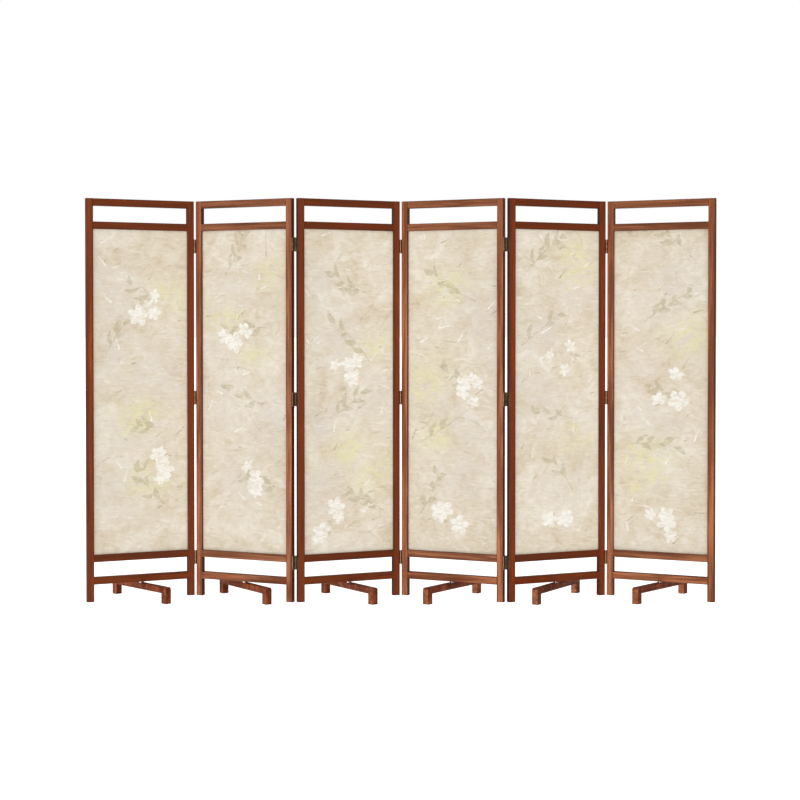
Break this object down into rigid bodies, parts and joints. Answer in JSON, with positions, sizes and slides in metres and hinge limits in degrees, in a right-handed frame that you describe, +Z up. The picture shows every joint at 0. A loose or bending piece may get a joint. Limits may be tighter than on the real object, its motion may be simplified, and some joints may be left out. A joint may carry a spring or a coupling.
{
  "type": "folding screen",
  "caption": "Free-standing zigzag folding room screen: jointed wooden frames with printed cloth panels, butt hinges, and swivelling bridge feet under the bottom rails.",
  "frame": {"origin": "middle of the standing outline, on the floor", "axes": "+X along the row of panels to the right, +Y away from the viewer, +Z up"},
  "size_m": [2.81, 0.3806, 1.8],
  "materials": {
    "stained_wood": "red-brown stain under satin varnish",
    "printed_cloth": "cream woven cloth with a pale leaf print",
    "hinge_metal": "dark bronze, satin",
    "steel": "zinc-plated steel"
  },
  "bodies": {
    "panel_1": {"left_stile_1": "stained_wood", "right_stile_1": "stained_wood", "top_rail_1": "stained_wood", "panel_rails_1": "stained_wood", "bottom_rail_1": "stained_wood", "cloth_panel_1": "printed_cloth", "foot_pivot_1": "steel", "hinge_leaves_1": "hinge_metal", "hinge_pins_1": "hinge_metal"},
    "panel_2": {"left_stile_2": "stained_wood", "right_stile_2": "stained_wood", "top_rail_2": "stained_wood", "panel_rails_2": "stained_wood", "bottom_rail_2": "stained_wood", "cloth_panel_2": "printed_cloth", "foot_pivot_2": "steel", "hinge_leaves_2": "hinge_metal", "hinge_pins_2": "hinge_metal"},
    "panel_3": {"left_stile_3": "stained_wood", "right_stile_3": "stained_wood", "top_rail_3": "stained_wood", "panel_rails_3": "stained_wood", "bottom_rail_3": "stained_wood", "cloth_panel_3": "printed_cloth", "foot_pivot_3": "steel", "hinge_leaves_3": "hinge_metal", "hinge_pins_3": "hinge_metal"},
    "panel_4": {"left_stile_4": "stained_wood", "right_stile_4": "stained_wood", "top_rail_4": "stained_wood", "panel_rails_4": "stained_wood", "bottom_rail_4": "stained_wood", "cloth_panel_4": "printed_cloth", "foot_pivot_4": "steel", "hinge_leaves_4": "hinge_metal", "hinge_pins_4": "hinge_metal"},
    "panel_5": {"left_stile_5": "stained_wood", "right_stile_5": "stained_wood", "top_rail_5": "stained_wood", "panel_rails_5": "stained_wood", "bottom_rail_5": "stained_wood", "cloth_panel_5": "printed_cloth", "foot_pivot_5": "steel", "hinge_leaves_5": "hinge_metal", "hinge_pins_5": "hinge_metal"},
    "panel_6": {"left_stile_6": "stained_wood", "right_stile_6": "stained_wood", "top_rail_6": "stained_wood", "panel_rails_6": "stained_wood", "bottom_rail_6": "stained_wood", "cloth_panel_6": "printed_cloth", "foot_pivot_6": "steel", "hinge_leaves_6": "hinge_metal"},
    "foot_1": {"foot_1": "stained_wood"},
    "foot_2": {"foot_2": "stained_wood"},
    "foot_3": {"foot_3": "stained_wood"},
    "foot_4": {"foot_4": "stained_wood"},
    "foot_5": {"foot_5": "stained_wood"},
    "foot_6": {"foot_6": "stained_wood"}
  },
  "joints": [
    {"name": "fold_3_4", "type": "hinge", "parent": "panel_3", "child": "panel_4", "pos_m": [0, 0.09278, 0.9], "axis": [0, 0, -1], "range_deg": [-50.6, 129.4]},
    {"name": "fold_4_5", "type": "hinge", "parent": "panel_4", "child": "panel_5", "pos_m": [0.46976, -0.09278, 0.9], "axis": [0, 0, 1], "range_deg": [-50.6, 129.4]},
    {"name": "fold_5_6", "type": "hinge", "parent": "panel_5", "child": "panel_6", "pos_m": [0.93952, 0.09278, 0.9], "axis": [0, 0, -1], "range_deg": [-50.6, 129.4]},
    {"name": "fold_2_3", "type": "hinge", "parent": "panel_3", "child": "panel_2", "pos_m": [-0.46976, -0.09278, 0.9], "axis": [0, 0, -1], "range_deg": [-50.6, 129.4]},
    {"name": "fold_1_2", "type": "hinge", "parent": "panel_2", "child": "panel_1", "pos_m": [-0.93952, 0.09278, 0.9], "axis": [0, 0, 1], "range_deg": [-50.6, 129.4]},
    {"name": "foot_1_swivel", "type": "hinge", "parent": "panel_1", "child": "foot_1", "pos_m": [-1.1744, 0, 0.061], "axis": [0, 0, -1], "range_deg": [-41.85, 106.95]},
    {"name": "foot_2_swivel", "type": "hinge", "parent": "panel_2", "child": "foot_2", "pos_m": [-0.70464, 0, 0.061], "axis": [0, 0, 1], "range_deg": [-11.9, 30.35]},
    {"name": "foot_3_swivel", "type": "hinge", "parent": "panel_3", "child": "foot_3", "pos_m": [-0.23488, 0, 0.061], "axis": [0, 0, -1], "range_deg": [-38.76, 99.05]},
    {"name": "foot_4_swivel", "type": "hinge", "parent": "panel_4", "child": "foot_4", "pos_m": [0.23488, 0, 0.061], "axis": [0, 0, 1], "range_deg": [-39.35, 100.55]},
    {"name": "foot_5_swivel", "type": "hinge", "parent": "panel_5", "child": "foot_5", "pos_m": [0.70464, 0, 0.061], "axis": [0, 0, -1], "range_deg": [-13.03, 33.25]},
    {"name": "foot_6_swivel", "type": "hinge", "parent": "panel_6", "child": "foot_6", "pos_m": [1.1744, 0, 0.061], "axis": [0, 0, 1], "range_deg": [-40.95, 104.65]}
  ],
  "couplings": [
    {"joint": "fold_4_5", "follows": "fold_3_4", "ratio": 1},
    {"joint": "fold_5_6", "follows": "fold_3_4", "ratio": 1},
    {"joint": "fold_2_3", "follows": "fold_3_4", "ratio": 1},
    {"joint": "fold_1_2", "follows": "fold_3_4", "ratio": 1},
    {"joint": "foot_1_swivel", "follows": "fold_3_4", "ratio": 0.82612},
    {"joint": "foot_2_swivel", "follows": "fold_3_4", "ratio": 0.23416},
    {"joint": "foot_3_swivel", "follows": "fold_3_4", "ratio": 0.76507},
    {"joint": "foot_4_swivel", "follows": "fold_3_4", "ratio": 0.77666},
    {"joint": "foot_5_swivel", "follows": "fold_3_4", "ratio": 0.25657},
    {"joint": "foot_6_swivel", "follows": "fold_3_4", "ratio": 0.80835}
  ]
}
